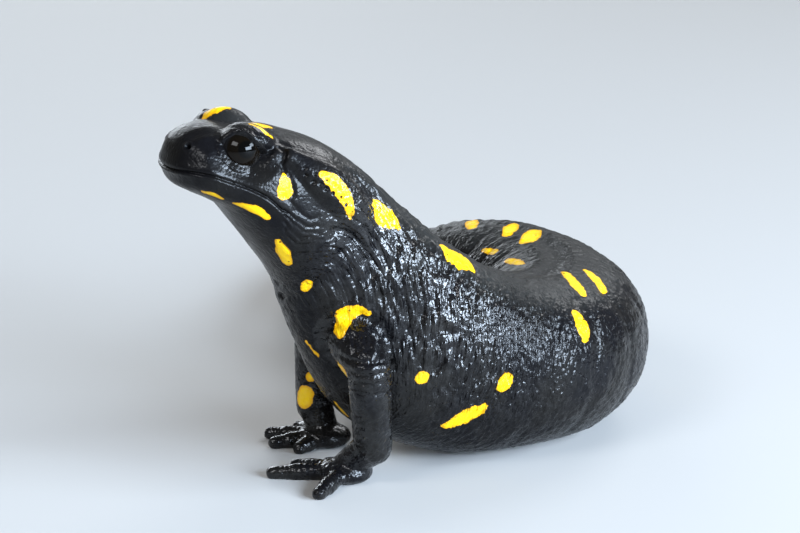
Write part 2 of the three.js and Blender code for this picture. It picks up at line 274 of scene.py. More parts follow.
def body_rings(stations, around):
    s = np.asarray(stations)[:, None]
    _, left, up = facing(s[:, 0])
    snout, blunt = blunt_share(s)
    centre = spine_at(s[:, 0]) + up * SNOUT_LIFT * (1 - snout)
    angle = np.arange(around) * 2 * np.pi / around
    c, sn = np.cos(angle)[None], np.sin(angle)[None]
    above, below = squareness(s)
    power = 2 / np.where(sn > 0, above, below)
    side = WIDE(s) * blunt * np.sign(c) * np.abs(c) ** power
    rise = np.where(sn > 0, UP(s), DOWN(s)) * blunt * np.sign(sn) * np.abs(sn) ** power
    return centre[:, None] + left[:, None] * side[..., None] + up[:, None] * rise[..., None]


def whole_body():
    front = SNOUT_ROUND * (1 - np.cos(np.linspace(0.09, np.pi / 2, 16)))
    middle = np.arange(SNOUT_ROUND + 0.4, TOTAL_LENGTH - TAIL_ROUND, 0.6)
    back = TOTAL_LENGTH - TAIL_ROUND * (1 - np.sin(np.linspace(0, 1.5, 8)))
    return loft(body_rings(np.concatenate([front, middle, back]), 80))


def catmull(points, shares):
    """A centripetal curve through the points, as points and ways at the shares from 0 to 1."""
    points = np.asarray(points, float)
    padded = np.concatenate([2 * points[:1] - points[1:2], points, 2 * points[-1:] - points[-2:-1]])
    place = np.asarray(shares) * (len(points) - 1)
    i = np.minimum(place.astype(int), len(points) - 2)
    t = (place - i)[:, None]
    p0, p1, p2, p3 = (padded[i + k] for k in range(4))
    d0, d1, d2 = (size(b - a)[:, None] ** 0.5 for a, b in ((p0, p1), (p1, p2), (p2, p3)))
    m1 = ((p1 - p0) / d0 - (p2 - p0) / (d0 + d1) + (p2 - p1) / d1) * d1
    m2 = ((p2 - p1) / d1 - (p3 - p1) / (d1 + d2) + (p3 - p2) / d2) * d1
    c2 = -3 * p1 + 3 * p2 - 2 * m1 - m2
    c3 = 2 * p1 - 2 * p2 + m1 + m2
    return p1 + t * (m1 + t * (c2 + t * c3)), unit(m1 + t * (2 * c2 + 3 * t * c3))


class Limb:
    """A round length of leg, toe or gland along a curve through joints of given radii."""

    def __init__(self, joints, radii):
        self.shares = np.linspace(0, 1, 33)  # from 0, so the second is also the step
        self.centres, self.ways = catmull(joints, self.shares)
        self.radii = smooth_curve(np.linspace(0, 1, len(radii)), radii)(self.shares)

    def surface(self, around=28):
        every = list(zip(self.centres, self.ways, self.radii))
        for (c, w, r), end in ((every[0], -1), (every[-1], 1)):
            angles = np.radians([18, 36, 54, 70, 83])
            cap = [(c + w * end * r * np.sin(a), w, r * np.cos(a)) for a in angles]
            every = cap[::-1] + every if end < 0 else every + cap
        side = np.cross((0, 1, 0), every[0][1])
        if np.linalg.norm(side) < 0.3:
            side = np.array((1.0, 0, 0))
        turn = np.arange(around) * 2 * np.pi / around
        rings = []
        for centre, way, radius in every:
            side = unit(side - way * (side @ way))
            top = np.cross(way, side)
            rings.append(centre + radius * (np.cos(turn)[:, None] * side + np.sin(turn)[:, None] * top))
        return loft(np.array(rings))

    def distance(self, points):
        """How far the points are outside it, and how far along it they are, from 0 to 1."""
        best = np.full(len(points), 1e9)
        share = np.zeros(len(points))
        for k in range(len(self.shares) - 1):
            a, b = self.centres[k], self.centres[k + 1]
            t = np.clip((points - a) @ (b - a) / ((b - a) @ (b - a)), 0, 1)
            radius = self.radii[k] * (1 - t) + self.radii[k + 1] * t
            away = size(points - a - t[:, None] * (b - a)) - radius
            nearer = away < best
            best[nearer] = away[nearer]
            share[nearer] = (self.shares[k] + t * self.shares[1])[nearer]
        return best, share


def ball(centre, axes, radii, segments=40, rows=24):
    """Points and faces of an ellipsoid with its axes along three directions."""
    rise = np.linspace(0, np.pi, rows + 1)[1:-1][:, None]
    turn = np.arange(segments)[None] * 2 * np.pi / segments
    out = np.sin(rise)
    local = np.stack([out * np.cos(turn), out * np.sin(turn), np.cos(rise) + 0 * turn], -1)
    rings = centre + (local * radii) @ np.array(axes)
    points, faces = loft(rings)
    points[-2] = centre + radii[2] * np.array(axes)[2]
    points[-1] = centre - radii[2] * np.array(axes)[2]
    return points, faces


class Leg:
    """A leg's lengths, its palm and its toes, from the named sizes."""

    def __init__(self, side, root, bend, ankle, foot, radii, toes):
        forward, left, _ = facing(root["s"])
        self.ahead, self.outward = unit(forward * (1, 1, 0)), left * side
        self.middle, end, self.foot = (
            over_ground(root["s"], ahead, side * out, high) for ahead, out, high in (bend, ankle, foot)
        )
        start = beside(root["s"], side * root["out"], -root["down"])
        self.upper = Limb([start, self.middle], radii[:2])
        self.lower = Limb([self.middle, (self.middle + end) / 2, end], [radii[1], radii[1] * 0.92, radii[2]])
        self.heel = Limb([end, self.foot * (1, 1, 0) + (0, 0, 1.8)], [radii[2] - 0.1, 1.8])
        self.palm_way = self.toward((toes[1][0] + toes[2][0]) / 2)
        self.toes = [self.toe(angle, length) for angle, length in toes]

    def toward(self, angle):
        """The level way at an angle outward from straight ahead."""
        turned = math.radians(angle)
        return self.ahead * math.cos(turned) + self.outward * math.sin(turned)

    def toe(self, angle, length):
        """A toe with knuckles: how far out, how high and how thick it is at each joint."""
        way = self.toward(angle)
        ground = self.foot * (1, 1, 0)
        places = [(1.4, 1.15, 1.1), (length * 0.42, 1.0, 0.9), (length * 0.6, 0.85, 1.0),
                  (length * 0.8, 0.7, 0.8), (length - 0.7, 0.62, 0.76)]
        joints = [ground + way * far + np.array((0, 0, high)) for far, high, _ in places]
        return Limb(joints, [radius for _, _, radius in places])

    def lengths(self):
        return [self.upper, self.lower, self.heel, *self.toes]

    def palm(self):
        across = np.cross((0, 0, 1), self.palm_way)
        return ball(self.foot, (self.palm_way, across, (0, 0, 1)), (3.4, 3, 1.65))


def ahead_left_up(s):
    return np.array(facing(s))


def mesh_from(name, points, faces):
    mesh = bpy.data.meshes.new(name)
    mesh.from_pydata([tuple(p) for p in points], [], faces)
    mesh.update()
    return mesh


def add_object(name, data):
    made = bpy.data.objects.new(name, data)
    bpy.context.scene.collection.objects.link(made)
    return made


legs = [Leg(**leg) for leg in LEGS]
glands = {side: Limb([beside(s, side * out, up) for s, out, up, _ in PAROTOID], [r for *_, r in PAROTOID])
          for side in BOTH_SIDES}
eye_centre = {side: beside(EYE["s"], side * EYE["out"], EYE["up"]) for side in BOTH_SIDES}
LID = 0.42  # the lids' thickness over the eyeball


def all_shapes():
    shapes = [whole_body()]
    for side in BOTH_SIDES:
        axes = ahead_left_up(BROW["s"])
        shapes.append(ball(beside(BROW["s"], side * BROW["out"], BROW["up"]), axes, BROW["radii"]))
        lid_radius = EYE["radius"] + LID
        shapes.append(ball(eye_centre[side], ahead_left_up(EYE["s"]), (lid_radius,) * 3))
        shapes.append(glands[side].surface())
    for leg in legs:
        shapes += [length.surface() for length in leg.lengths()]
        shapes.append(leg.palm())
    return shapes


def one_net(shapes):
    """Every shape joined into one closed net of small even squares."""
    points, faces, start = [], [], 0
    for some, its_faces in shapes:
        points.append(some)
        faces += [[v + start for v in face] for face in its_faces]
        start += len(some)
    rough = add_object("rough", mesh_from("rough", np.concatenate(points), faces))
    remesh = rough.modifiers.new("net", "REMESH")
    remesh.mode = "VOXEL"
    remesh.voxel_size = VOXEL
    made = bpy.data.meshes.new_from_object(rough.evaluated_get(bpy.context.evaluated_depsgraph_get()))
    bpy.data.objects.remove(rough)
    return made


def read_out(items, name, width, kind=np.float32):
    """One thing about every item of a mesh, a row for each."""
    flat = np.empty(len(items) * width, kind)
    items.foreach_get(name, flat)
    return flat.reshape(-1, width)


class Net:
    """The skin's net as arrays: its points, its edges and how many of them meet at each point."""

    def __init__(self, mesh):
        self.mesh = mesh
        self.read()

    def read(self):
        self.points = read_out(self.mesh.vertices, "co", 3).astype(float)
        self.edges = read_out(self.mesh.edges, "vertices", 2, np.int32)
        self.degree = np.bincount(self.edges.ravel(), minlength=len(self.points))[:, None]

    def write(self):
        self.mesh.vertices.foreach_set("co", self.points.astype(np.float32).ravel())
        self.mesh.update()

    def normals(self):
        self.write()
        return read_out(self.mesh.vertex_normals, "vector", 3).astype(float)

    def average(self):
        """The middle of each point's neighbours."""
        a, b = self.edges.T
        count = len(self.points)
        total = [np.bincount(a, one[b], count) + np.bincount(b, one[a], count) for one in self.points.T]
        return np.stack(total, 1) / self.degree

    def smooth(self, share, rounds):
        share = np.asarray(share, float)
        share = share[:, None] if share.ndim else share
        for _ in range(rounds):
            self.points += share * (self.average() - self.points)

    def even_out(self, rounds, share=1.0):
        """Takes out the net's small steps and keeps its size."""
        for _ in range(rounds):
            self.smooth(0.55 * share, 1)
            self.smooth(-0.57 * share, 1)

    def refine(self, chosen):
        """Splits every edge whose two ends are chosen."""
        work = bmesh.new()
        work.from_mesh(self.mesh)
        work.edges.ensure_lookup_table()
        picked = np.nonzero(chosen[self.edges].all(1))[0]
        edges = [work.edges[i] for i in picked]
        bmesh.ops.subdivide_edges(work, edges=edges, cuts=1, use_grid_fill=True)
        work.to_mesh(self.mesh)
        work.free()
        self.read()


class Places:
    """Where points are on the animal: along and round the body, in the head's own axes, and on the legs."""

    def __init__(self, points):
        self.points = points
        near = np.concatenate([
            np.argmin((SPINE**2).sum(1)[None] - 2 * some @ SPINE.T, axis=1)
            for some in np.array_split(points, 24)
        ])
        s = near * STEP
        for _ in range(2):
            forward = facing(s)[0]
            s = np.clip(s - ((points - spine_at(s)) * forward).sum(1), 0, TOTAL_LENGTH)
        self.s = s
        _, left, up = facing(s)
        off = points - spine_at(s)
        self.left, self.up = (off * left).sum(1), (off * up).sum(1)
        above, below = squareness(s)
        power = np.where(self.up > 0, above, below) / 2
        c = np.abs(self.left / WIDE(s)) ** power
        sn = np.abs(self.up / np.where(self.up > 0, UP(s), DOWN(s))) ** power
        self.angle = np.degrees(np.arctan2(sn * np.sign(self.up), c * np.sign(self.left)))
        share = (c**2 + sn**2) ** (0.5 / power)
        self.reach = np.hypot(self.left, self.up)
        self.outside = self.reach * (1 - 1 / np.maximum(share, 1e-3))
        forward, left, up = ahead_left_up(0.0)
        off = points - SPINE[0]
        self.back, self.out, self.rise = -off @ forward, off @ left, off @ up
        self.on_legs()
        self.from_corner = np.maximum(self.outside, 0) + np.maximum(self.from_leg, 0)

    def on_legs(self):
        count = len(self.points)
        self.leg = np.full(count, -1)
        self.length = np.zeros(count, int)
        self.share = np.zeros(count)
        self.from_leg = np.full(count, FARTHER)
        for number, leg in enumerate(legs):
            for part, length in enumerate(leg.lengths()):
                low = length.centres.min(0) - 7
                high = length.centres.max(0) + 7
                close = np.nonzero(((self.points > low) & (self.points < high)).all(1))[0]
                away, share = length.distance(self.points[close])
                better = away < self.from_leg[close]
                at = close[better]
                self.from_leg[at] = away[better]
                self.leg[at], self.length[at], self.share[at] = number, part, share[better]

    def path_distance(self, path):
        """How far each point is outside a path of (s, angle, half width) on the body, in millimetres."""
        path = np.array(path, float)
        best = np.full(len(self.points), FARTHER)
        near = (np.abs(self.s - path[:, 0].mean()) < np.ptp(path[:, 0]) / 2 + 6).nonzero()[0]
        reach = self.reach[near]
        turn = np.radians(path[:, 1]).mean()
        own = turn + (np.radians(self.angle[near]) - turn + np.pi) % (2 * np.pi) - np.pi
        here = np.stack([self.s[near], own * reach], 1)
        pairs = list(zip(path[:-1], path[1:])) or [(path[0], path[0])]
        for (s0, a0, w0), (s1, a1, w1) in pairs:
            a, b = (
                np.stack([np.full(len(near), s), np.radians(turned) * reach], 1)
                for s, turned in ((s0, a0), (s1, a1))
            )
            run = ((b - a) ** 2).sum(1)
            t = np.clip(((here - a) * (b - a)).sum(1) / np.maximum(run, 1e-6), 0, 1)
            off = size(here - a - t[:, None] * (b - a))
            best[near] = np.minimum(best[near], off - (w0 + (w1 - w0) * t))
        return best


# -------- the skin's shape

net = Net(one_net(all_shapes()))
place = Places(net.points)


def fillet():
    """Rounds the inner corners where the legs leave the body and each length meets the next."""
    gap = 2.2
    both = np.clip(1 - np.abs(place.outside - place.from_leg) / gap, 0, 1) ** 2
    net.points += net.normals() * (both * (place.from_corner < gap) * gap / 4 * 0.8)[:, None]
    corner = np.exp(-(place.from_corner**2) / 1.3) * (place.length < 2)
    net.smooth(0.6 * corner, 40)
    net.even_out(5)
    net.smooth(0.35, 2)


fillet()

# Finer squares where the detail is: the head and the feet, then the lids, lips and nostrils.
NOSTRIL = (1.0, 3.5, 3.0)  # behind the snout's tip, out from the middle, up
CANTHUS = Limb([(1.5, 2.8, 4.4), (2.4, 3.2, 5.2), (3.5, 3.8, 5.6)], [0.1, 0.1])  # the groove before the eye
LORE = (2.9, 5.7, 3.6)  # the swelling under it
EYE_AXES = ahead_left_up(EYE["s"])


def eye_distance():
    return np.minimum(*(size(net.points - eye_centre[side]) for side in BOTH_SIDES))


def lip_distance():
    """How far over or under the mouth's line a point is, and far off where there's no mouth."""
    line = place.rise - mouth_height(place.back)
    return np.where((place.back < MOUTH_END + 1) & (np.abs(line) < 4), line, FAR)


feet = (place.leg >= 0) & (place.length >= 2) & (place.from_leg < 0.8)
net.refine((place.s < 27) | feet)
place = Places(net.points)
nostril_side = np.abs(np.stack([place.back, np.abs(place.out), place.rise], 1) - NOSTRIL).max(1)
net.refine((eye_distance() < 4.2) | (np.abs(lip_distance()) < 0.8) | (nostril_side < 1))
net.even_out(3, 0.8)
place = Places(net.points)

# -------- the head's forms

# The eye's opening: the lids' edges as heights, in degrees from the eyeball's middle, from its rear corner
# to its front one.
UPPER_LID = smooth_curve((-76, -66, -40, -10, 25, 53, 68, 77), (-2, 3, 16, 30, 42, 39, 24, 3))
LOWER_LID = smooth_curve((-76, -64, -22, 8, 33, 53, 68, 77), (-3, -14, -32, -37, -35, -24, -9, -1))


def open_eyes():
    """Draws the lids close over each eyeball, and takes the skin inside their edges behind it."""
    radius = EYE["radius"]
    for side in BOTH_SIDES:
        off = net.points - eye_centre[side]
        ahead, out, up = (off @ axis for axis in EYE_AXES)
        out = out * side
        reach = size(off)
        near = (reach < 5.5) & (out > -0.5)
        azimuth = np.degrees(np.arctan2(ahead, out))
        height = np.degrees(np.arcsin(np.clip(up / reach, -1, 1)))
        over, under = height - UPPER_LID(azimuth), LOWER_LID(azimuth) - height
        beyond = np.maximum(azimuth - 75, -74 - azimuth)
        outside = np.maximum(np.maximum(over, under), beyond)
        edge = radius + 0.06 + 0.38 * ramp(outside, 0, 7)
        ridge = 0.34 * hump(outside, 9, 5) * ramp(under, -4, 4) * ramp(azimuth, -70, 0)
        crease = -0.24 * hump(outside, 17, 4) * ramp(over, 0, 6) * ramp(azimuth, 75, 50)
        hood = 0.3 * hump(outside, 8, 6) * ramp(over, 0, 4) * ramp(azimuth, 70, 40)
        lid = edge + (reach - edge) * ramp(outside, 7, 27) + ridge + crease + hood
        inner = radius - 0.6
        wanted = inner + (lid - inner) * ramp(outside, -3.5, 0.5)
        wanted += (reach - wanted) * ramp(reach, 4.2, 5.4)
        net.points[near] += (off * (wanted / reach - 1)[:, None])[near]


def head_relief():
    """How far the head's skin stands out or in: lips, nostrils and the softness of the snout."""
    line = lip_distance()
    fade = 1 - ramp(place.back, MOUTH_END - 0.6, MOUTH_END + 1.4)
    lips = ((-0.34, 0, 0.13), (0.12, -0.4, 0.25), (-0.12, -1.4, 0.6), (0.06, 0.6, 0.45))
    relief = sum(out * hump(line, middle, width) * fade for out, middle, width in lips)
    here = np.stack([place.back, np.abs(place.out), place.rise], 1)
    pit = size((here - NOSTRIL) * (1.0, 1.0, 1.25))
    relief += 0.12 * hump(pit, 0.55, 0.25) - 0.8 * hump(pit, 0, 0.3)
    groove, _ = CANTHUS.distance(here)
    relief -= 0.22 * hump(np.maximum(groove, 0), 0, 0.7)
    relief += 0.2 * hump(size(here - LORE), 0, 1.2)
    return relief


# Folds and furrows: a path of (s, angle) on the left, its width, and how far it stands out (or in, below
# zero). The right has the same ones.
FOLDS = [
    ([(11.0, 52), (11.3, 45), (11.2, 37), (11.3, 30), (11.8, 24)], 0.24, -0.42),
    ([(10.9, 50), (10.6, 42), (10.2, 34), (9.9, 28)], 0.34, 0.34),
    ([(9.9, 45), (9.5, 37), (9.3, 29)], 0.22, -0.2),
    ([(12.4, 22), (13.1, 14), (13.5, 6)], 0.35, -0.22),
    ([(20.8, 10), (21.4, 2), (20.6, -6)], 0.6, -0.25),
    ([(22.6, 26), (23.6, 14), (23.4, 0), (23, -18), (23.2, -40), (23.8, -70), (24, -92)], 0.8, -0.2),
    ([(20, -24), (20.4, -45), (20.8, -70), (21, -92)], 0.6, -0.12),
    ([(11.4, 60), (12.6, 50), (14.5, 45), (17, 44), (19.6, 40), (21.6, 30)], 0.6, -0.18),
]
# Fine folds run back from the corner of the jaw, one under another.
for k, fall in enumerate((0, 7, 12, 20, 27, 38)):
    back_end = (17.6 + 0.5 * (k % 3), 1 - 0.8 * fall)
    fold = [(12.7 + 0.4 * k, 5 - fall), (14.8, -fall), (16.7, -2 - fall), back_end]
    FOLDS.append((fold, 0.17 + 0.04 * (k % 2), -0.26))


def fold_relief():
    """The folds, a little wandering and broken."""
    relief = np.zeros(len(net.points))
    wander = 0.16 * noise(net.points / 1.7, 11)
    broken = np.clip(0.75 + 0.7 * noise(net.points / 2.6, 12), 0.15, 1.2)
    for path, width, out in FOLDS:
        for side in BOTH_SIDES:
            turned = [(s, angle if side > 0 else 180 - angle, 0) for s, angle in path]
            off = place.path_distance(turned)
            relief += out * broken * hump(np.maximum(off + wander, 0), 0, width)
    return relief * (place.length < 1)


# -------- the skin's wrinkles

# Along the neck's side the wrinkles lean back; further on they stand square to the spine.
LEAN = smooth_curve((16, 24, 30, 42, 60, 182), (0.4, 1.3, 1.5, 1.3, 0, 0))
RIBS = np.arange(39, 93, 5.1)


def stretched(points_s, long):
    """Places for a grain that is fine along the body and long round it."""
    lean = LEAN(points_s)
    across = (points_s + lean * np.clip(place.up, -10, 10)) / np.sqrt(1 + lean**2)
    return np.stack([across, place.left / long, place.up / long], 1)


def valleys(values, width):
    """Narrow valleys where the values pass zero: 0 between them, -1 at their bottom."""
    return -np.clip(1 - np.abs(values) / width, 0, 1) ** 1.5


def on_side():
    """1 on the flanks, 0 along the back's and the belly's middle."""
    return ramp(np.abs(np.cos(np.radians(place.angle))), 0.2, 0.75)


def scattered(points, seed):
    """A point somewhere in each cell of a unit grid: how far it is from the points given, and its luck."""
    cell = np.floor(points).astype(np.int64)
    for step in itertools.product((-1, 0, 1), repeat=3):
        at = cell + step
        x, y, z = at.T
        mixed = mix(x * 73856093 ^ y * 19349663 ^ z * 83492791 ^ seed * 2654435761, 15, 2246822519, 13)
        inside = three_parts(mixed, 8) / 255
        yield size(points - at - inside), (mixed >> 24) / 255


def beads(spacing, radius, seed, chance):
    """Low round beads scattered over the skin, from 0 to 1 at their tops."""
    best = np.full(len(net.points), FAR)
    for gap, luck in scattered(net.points / spacing, seed):
        best = np.where(luck < chance, np.minimum(best, gap), best)
    return np.clip(1 - (best * spacing / radius) ** 2, 0, 1) ** 1.5


def pads(points, seed):
    """Uneven pads of about one unit: 0 along the furrows between them, rising towards their middles."""
    first, second = np.full((2, len(points)), FAR)
    for gap, _ in scattered(points, seed):
        second = np.minimum(second, np.maximum(first, gap))
        first = np.minimum(first, gap)
    return second - first


def on_arm():
    """1 on a leg's upper length, 0 on the body and where the two meet."""
    return ramp(place.outside - place.from_leg, 0.2, 1.4) * (place.leg >= 0) * (place.length == 0)


def body_relief():
    """How far the body's skin stands out or in: wrinkles, ribs, the tail's rings and the back's furrow."""
    s = place.s
    body = (place.length < 1) * (1 - on_arm())
    wander = 0.7 * noise(net.points / 4.5, 3)
    grain = stretched(s + wander, 2.4 - 1.1 * ramp(s, 42, 60))
    side = on_side()
    strong = ramp(s, 17, 26) * (1 - 0.84 * ramp(s, 45, 62))
    under = 24 * ramp(s, 32, 42)
    low = ramp(place.angle, under - 95, under - 40) + ramp(np.abs(place.angle), 150, 175)
    amount = strong * (0.25 + 0.75 * side) * np.clip(low, 0.3, 1) + 0.12 * ramp(s, 14, 24)
    amount *= 1 - 0.5 * (1 - ramp(s, 22, 31)) * ramp(place.angle, -2, -25)
    domed = ramp(s, 18, 22) * ramp(s, 46, 36) * ramp(place.angle, -22, -4) * ramp(place.angle, 75, 50)
    relief = np.zeros(len(s))
    folded = np.nonzero(body * amount > 0.02)[0]
    some, how_much = grain[folded], amount[folded]
    warp = np.stack([noise(some / 1.5, seed) for seed in (5, 6, 7)], 1)
    large, small = pads(some / 1.2 + 0.3 * warp, 21), pads(some / 0.5 + 0.4 * warp, 22)
    flat = 0.28 * ramp(large, 0, 0.27) + 0.1 * ramp(small, 0, 0.4) + 0.08 * warp[:, 0] - 0.33
    relief[folded] = how_much * flat
    relief[folded] += 0.17 * domed[folded] * (ramp(large, 0.05, 0.7) + 0.6 * ramp(small, 0, 0.7) - 0.8)
    swell = 0.22 * ramp(s, 18, 34) * (1 - ramp(s, 100, 130))
    relief += swell * noise(net.points / 6.5, 8)
    ribs = sum(hump(s + 0.5 * wander, rib, 0.55) for rib in RIBS)
    relief -= 0.24 * ribs * side * ramp(s, 44, 60)
    rings = sum(hump(s, ring, 0.4) for ring in np.arange(101, 172, 4.2))
    relief -= 0.14 * rings * (0.4 + 0.6 * side)
    from_top = np.radians(place.angle - 90) * place.reach
    along_back = ramp(s, 22, 30) * (1 - ramp(s, 118, 140))
    relief -= 0.32 * hump(from_top, 0, 0.8) * along_back
    glands = 0.5 + 0.5 * np.cos(s * 2 * np.pi / 1.7)
    relief += 0.14 * glands * (hump(from_top, 1.7, 0.5) + hump(from_top, -1.7, 0.5)) * along_back
    return relief * body


# Two creases and a ridge on the left shoulder: (ahead, left, height) from the leg's root, and how far each
# stands out.
SHOULDER_FOLDS = [
    (Limb(from_root(FORE_ROOT, path), [0.1, 0.1]), out) for path, out in (
        ([(6.9, 9.1, 20.9), (5.6, 10.4, 19.8), (4.4, 10.9, 19.2)], -0.5),
        ([(6.4, 9.9, 20.2), (5.2, 11.2, 19.2), (5.9, 12.7, 18.0)], 0.4),
        ([(4.4, 11.9, 18.7), (5.0, 12.9, 17.8), (5.9, 13.6, 17.2)], -0.4),
    )
]


def leg_relief():
    """Creases round the legs and the toes' joints."""
    leg = (place.leg >= 0) & (place.from_leg < 1.5)
    height = net.points[:, 2]
    around = noise(net.points * (1.0, 1.0, 2.0) / 1.5, 31)
    relief = 0.09 * valleys(around, 0.25) * (place.length <= 1)
    relief += 0.03 * noise(net.points / 0.9, 32) * (place.length <= 1)
    bend = np.array([some.middle for some in legs])[place.leg]
    from_bend = size(net.points - bend)
    tilt = 0.3 * noise(net.points / 2.4, 33)
    rings = sum(hump(height - bend[:, 2] + tilt, high, 0.22) for high in (1.5, 0.1, -1.2, -2.7))
    relief -= 0.5 * rings * hump(from_bend, 0, 4.4) * (place.length <= 1)
    relief -= 0.5 * hump(place.from_corner, 0, 0.6) * (place.length == 0)
    for fold, out in SHOULDER_FOLDS:
        relief += out * hump(np.maximum(fold.distance(net.points)[0], 0), 0, 0.34)
    toe = place.length >= 3
    joints = (0.12, 0.2, 0.3, 0.42, 0.5, 0.62, 0.72, 0.82)
    knuckles = sum(hump(place.share, joint, 0.025) for joint in joints)
    relief += (0.14 - 0.07 * knuckles) * toe * ramp(place.share, 0.05, 0.2)
    relief += 0.05 * noise(net.points / 0.7, 34) * (place.length >= 2)
    return relief * leg


def settle_brows():
    """Presses the left brow a little flatter than the right, and fills out the crown behind it."""
    brow_top = beside(BROW["s"], BROW["out"] - 0.3, BROW["up"] + BROW["radii"][2])
    crown = beside(10.0, -0.5, 7.5)
    for middle, wide, lift in ((brow_top, 3.7, -0.5), (crown, 3.0, 0.35)):
        net.points += lift * hump(size(net.points - middle), 0, wide)[:, None] * ahead_left_up(BROW["s"])[2]


def soften_eye_corners():
    """Smooths the skin in front of each eye, where its lids meet."""
    corner = np.full(len(net.points), FAR)
    for side in BOTH_SIDES:
        front = eye_centre[side] + (2.7, side * 0.9, 1.0) @ EYE_AXES
        corner = np.minimum(corner, size(net.points - front))
    clear = ramp(eye_distance(), EYE["radius"] + 0.1, EYE["radius"] + 0.3)
    net.smooth(0.8 * hump(corner, 0, 1.7) * clear, 14)


def bead_relief():
    """Fine beads from the back of the head on, coarser ones from the trunk on, and a fine unevenness."""
    bead = 0.7 * beads(1.5, 0.36, 4, 0.5) * ramp(place.s, 46, 60)
    bead += beads(1.1, 0.3, 9, 0.5) * ramp(place.s, 10, 30)
    on_head = 1 - ramp(place.s, 17, 24)
    return 0.09 * bead * (place.from_leg > 0.5) + 0.05 * noise(net.points / 0.8, 17) * (1 - 0.7 * on_head)


# The glands' pores on the left, as (s, angle, width). The right has the same ones.
PORES = [
    (15.2, 20, 0.26), (16, 20, 0.22), (16.8, 18, 0.28), (15.1, 26, 0.16), (13.8, 29, 0.17),
    (14.1, 24, 0.16), (16.6, 24, 0.15), (17.6, 23, 0.16), (18.3, 22, 0.15), (18.9, 17, 0.15),
    (19.8, 14, 0.15), (17.8, 17, 0.17),
]


def open_pores():
    """1 in the glands' pores and 0 outside them."""
    pored = np.zeros(len(net.points))
    for s, angle, wide in PORES:
        for turned in (angle, 180 - angle):
            off = np.maximum(place.path_distance([(s, turned, 0)]), 0)
            pored = np.maximum(pored, hump(off, 0, wide))
    return pored


open_eyes()
settle_brows()
soften_eye_corners()
place = Places(net.points)
pored = open_pores()
relief = head_relief() + fold_relief() + body_relief() + leg_relief() + bead_relief() - 0.45 * pored
eyeless = ramp(eye_distance(), 3.2, 3.9)
net.points += net.normals() * (relief * eyeless)[:, None]
net.points[:, 2] = np.maximum(net.points[:, 2], 0)
net.write()


# -------- the yellow spots

